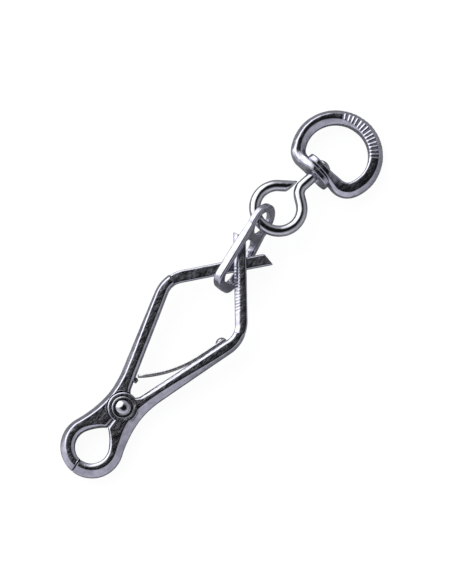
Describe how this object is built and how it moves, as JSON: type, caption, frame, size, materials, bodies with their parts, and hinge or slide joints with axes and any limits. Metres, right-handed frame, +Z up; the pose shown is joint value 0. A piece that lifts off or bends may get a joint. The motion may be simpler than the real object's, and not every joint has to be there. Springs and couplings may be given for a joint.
{
  "type": "nose lead clamp",
  "caption": "Self-tightening forged metal clamp: ring-shaped jaws and crossed handles on one rivet, slotted link, swivel eye and swivel ring.",
  "frame": {"origin": "bottom centre of the whole part's box, on the table it lies on", "axes": "+X from the jaws to the swivel ring, +Y towards the left arm, +Z up out of the front face"},
  "size_m": [0.191, 0.042, 0.0187],
  "materials": {
    "plated_forging": "polished nickel-chrome plating over a forging",
    "plated_rod": "bright plated round bar and rivets",
    "spring_steel": "plated spring strip"
  },
  "bodies": {
    "pivot": {"pivot_rivet": "plated_rod", "pivot_washer": "plated_rod"},
    "left_arm": {"left_jaw_arm": "plated_forging"},
    "right_arm": {"right_jaw_arm": "plated_forging", "leaf_rivet": "plated_rod"},
    "spring": {"leaf_spring": "spring_steel"},
    "link": {"link": "plated_forging"},
    "eye": {"swivel_eye": "plated_rod"},
    "ring": {"swivel_ring": "plated_forging"}
  },
  "joints": [
    {"name": "left_arm_hinge", "type": "hinge", "parent": "pivot", "child": "left_arm", "pos_m": [-0.06211, 0.0001, 0.00507], "axis": [0.0509, 0, -0.9987], "range_deg": [0, 10], "stiffness_Nm_per_rad": 1, "springref_deg": -5.73},
    {"name": "right_arm_hinge", "type": "hinge", "parent": "pivot", "child": "right_arm", "pos_m": [-0.06211, 0.0001, 0.00507], "axis": [-0.0509, 0, 0.9987], "range_deg": [0, 10], "stiffness_Nm_per_rad": 1, "springref_deg": -5.73},
    {"name": "spring_flex", "type": "hinge", "parent": "right_arm", "child": "spring", "pos_m": [-0.01597, -0.01484, 0.00742], "axis": [-0.0509, 0, 0.9987], "range_deg": [0, 10], "deforming": ["leaf_spring"]},
    {"name": "link_slide", "type": "slide", "parent": "pivot", "child": "link", "axis": [-0.9987, 0, -0.0509], "range_m": [0, 0.011]},
    {"name": "eye_hinge", "type": "hinge", "parent": "link", "child": "eye", "pos_m": [0.03314, 0.00445, 0.01029], "axis": [-0.1407, -0.99, -0.0072], "range_deg": [-110, 110]},
    {"name": "ring_swivel", "type": "hinge", "parent": "eye", "child": "ring", "pos_m": [0.0762, -0.00163, 0.00505], "axis": [0.9831, -0.1389, -0.1196], "continuous": true}
  ],
  "couplings": [
    {"joint": "right_arm_hinge", "follows": "left_arm_hinge", "ratio": 1},
    {"joint": "spring_flex", "follows": "left_arm_hinge", "ratio": 0.95},
    {"joint": "link_slide", "follows": "left_arm_hinge", "m_per_rad": 0.06296}
  ]
}
